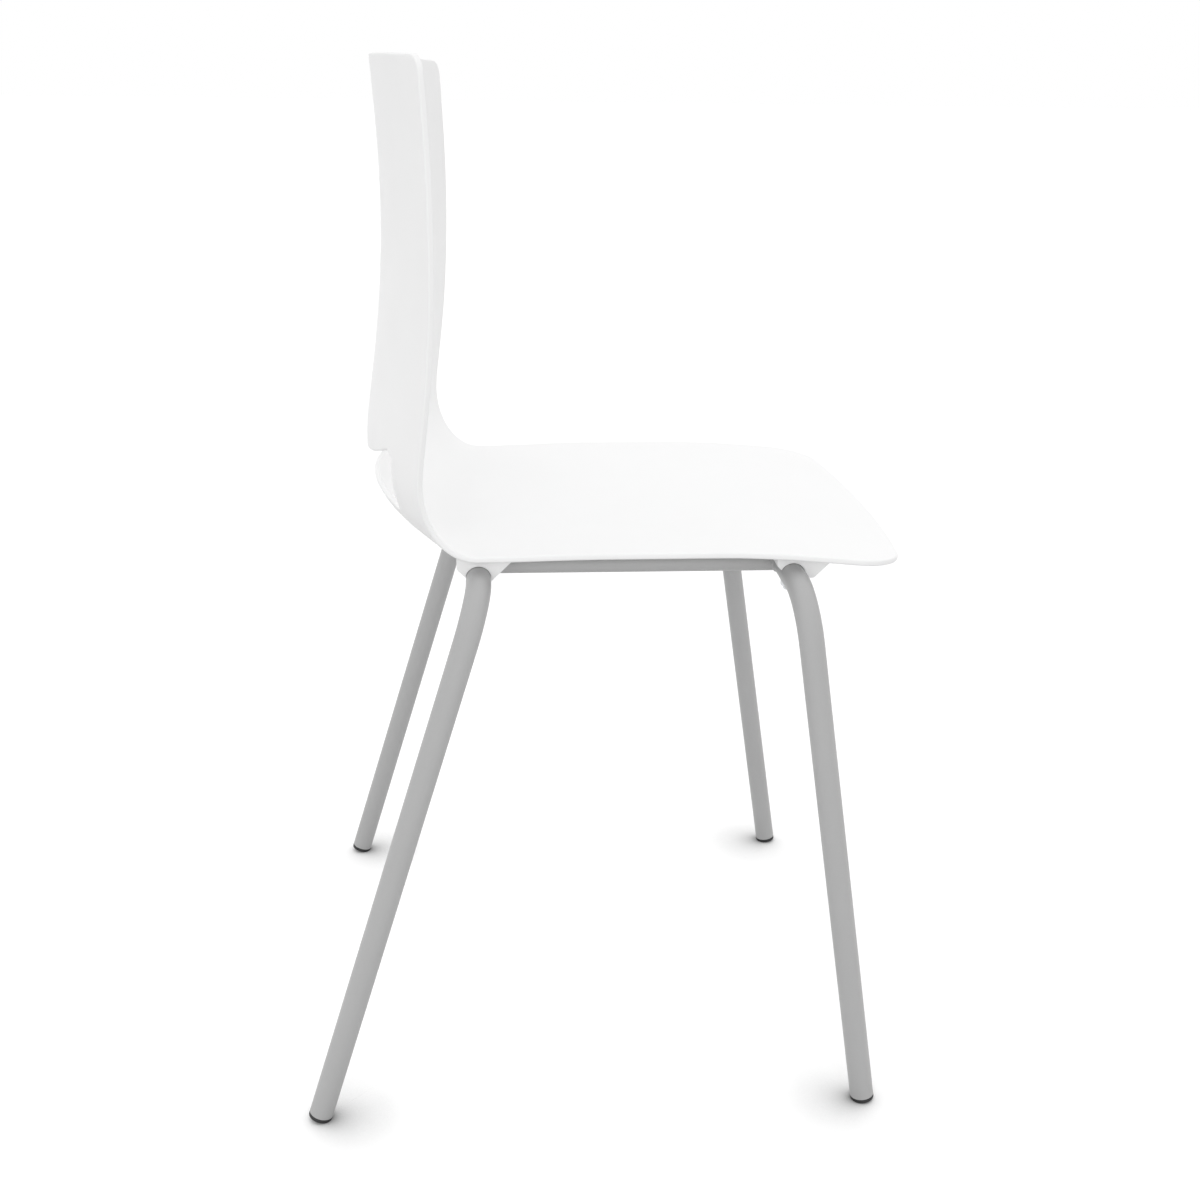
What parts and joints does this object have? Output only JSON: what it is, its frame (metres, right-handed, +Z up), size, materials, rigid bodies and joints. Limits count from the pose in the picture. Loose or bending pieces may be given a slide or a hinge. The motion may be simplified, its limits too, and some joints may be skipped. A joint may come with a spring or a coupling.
{
  "type": "stacking chair",
  "caption": "Armless stacking chair: a one-piece moulded seat and back with an opening at the lower back, on a frame of bent round tube with leaning legs.",
  "frame": {"origin": "on the floor, below the middle of the chair's outer box", "axes": "+X to the front of the chair, +Y to the sitter's left, +Z up"},
  "size_m": [0.4964, 0.4906, 0.843],
  "materials": {
    "shell_plastic": "white moulded polypropylene, fine satin texture",
    "saddle_plastic": "off-white moulded plastic, satin",
    "frame_paint": "silver-grey powder coat on steel tube, satin",
    "zinc_steel": "bright zinc plate",
    "glide_plastic": "black moulded plastic, matt"
  },
  "bodies": {
    "root": {"seat_shell": "shell_plastic", "rear_leg_loop": "frame_paint", "front_leg_loop": "frame_paint", "side_rail_left": "frame_paint", "side_rail_right": "frame_paint", "saddle_rear_left": "saddle_plastic", "saddle_rear_right": "saddle_plastic", "saddle_front_left": "saddle_plastic", "saddle_front_right": "saddle_plastic", "washer_rear_left": "zinc_steel", "washer_rear_right": "zinc_steel", "washer_front_left": "zinc_steel", "washer_front_right": "zinc_steel", "screw_rear_left": "zinc_steel", "screw_rear_right": "zinc_steel", "screw_front_left": "zinc_steel", "screw_front_right": "zinc_steel", "foot_glide_rear_left": "glide_plastic", "foot_glide_rear_right": "glide_plastic", "foot_glide_front_left": "glide_plastic", "foot_glide_front_right": "glide_plastic"}
  },
  "joints": []
}
